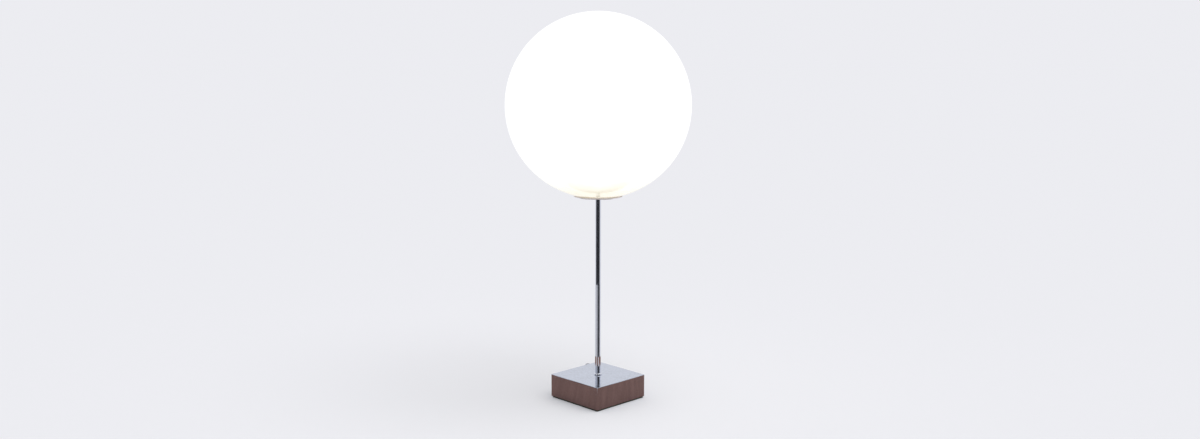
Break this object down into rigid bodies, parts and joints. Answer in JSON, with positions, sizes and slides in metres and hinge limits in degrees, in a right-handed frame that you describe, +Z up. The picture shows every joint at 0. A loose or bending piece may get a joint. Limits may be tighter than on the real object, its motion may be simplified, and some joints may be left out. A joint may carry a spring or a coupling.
{
  "type": "glass globe table lamp",
  "caption": "Table lamp with a large opal glass globe on a slim chrome stem and a square weighted chrome base.",
  "frame": {"origin": "on the table, under the middle of the base", "axes": "+Z up along the stem, +Y towards the rear face with the cord inlet and switch, +X to the right seen from the front"},
  "size_m": [0.355, 0.3548, 0.7523],
  "materials": {
    "base_chrome": "mirror polished chrome plate",
    "stem_chrome": "mirror polished chrome plate",
    "holder_chrome": "polished chrome plate",
    "knob_chrome": "satin chrome plate, knurled",
    "cast_iron": "rough cast, dull grey",
    "cover_steel": "black stoved paint",
    "felt": "pressed felt",
    "plated_steel": "zinc plated",
    "black_nylon": "moulded",
    "white_nylon": "moulded",
    "rubber": "grey pink soft rubber",
    "socket_brass": "bright drawn brass",
    "terminal_brass": "turned brass",
    "nickel_brass": "nickel plated",
    "fibre_board": "pressed insulating fibre",
    "phenolic": "moulded phenolic",
    "screw_shell_aluminium": "drawn",
    "white_lead": "insulated wire",
    "black_lead": "insulated wire",
    "opal_glass": "polished white opal, lit from inside",
    "frosted_glass": "inside frosted white",
    "bulb_cap_aluminium": "rolled thread",
    "black_glass": "vitrified insulator",
    "solder": "soft solder",
    "clear_glass": "clear",
    "nickel_wire": "drawn wire",
    "tungsten": "drawn wire"
  },
  "bodies": {
    "base": {"base_shell": "base_chrome", "base_weight": "cast_iron", "bottom_cover": "cover_steel", "felt_pad": "felt", "cover_screws": "plated_steel", "cord_bushing": "black_nylon", "bushing_nut": "black_nylon", "terminal_block": "white_nylon", "block_screw": "plated_steel", "stem_collar": "stem_chrome", "stem_tube": "stem_chrome", "stem_washer": "plated_steel", "stem_nut": "plated_steel", "globe_holder": "holder_chrome", "holder_gasket": "rubber", "holder_washer": "plated_steel", "holder_nut": "plated_steel", "socket_cap": "socket_brass", "cap_set_screw": "plated_steel", "socket_shell": "socket_brass", "socket_liner": "fibre_board", "socket_body": "phenolic", "socket_terminals": "terminal_brass", "socket_screw_shell": "screw_shell_aluminium", "socket_contact": "terminal_brass", "switch_body": "phenolic", "switch_washer": "plated_steel", "switch_bushing": "nickel_brass", "switch_nut": "nickel_brass", "switch_terminals": "terminal_brass", "neutral_lead": "white_lead", "live_lead": "black_lead", "switched_lead": "black_lead"},
    "globe": {"globe_glass": "opal_glass"},
    "bulb": {"bulb_glass": "frosted_glass", "bulb_cap": "bulb_cap_aluminium", "bulb_insulator": "black_glass", "bulb_contact": "solder", "bulb_mount": "clear_glass", "bulb_lead_wires": "nickel_wire", "bulb_filament": "tungsten"},
    "knob": {"switch_shaft": "nickel_brass", "switch_knob": "knob_chrome", "knob_screw": "plated_steel"}
  },
  "joints": [
    {"name": "globe_lift", "type": "slide", "parent": "base", "child": "globe", "axis": [0, 0, 1], "range_m": [0, 0.2]},
    {"name": "bulb_out", "type": "slide", "parent": "base", "child": "bulb", "axis": [0, 0, 1], "range_m": [0, 0.025]},
    {"name": "switch_turn", "type": "hinge", "parent": "base", "child": "knob", "pos_m": [0.048, 0.065, 0.037], "axis": [0, 1, 0], "continuous": true}
  ]
}
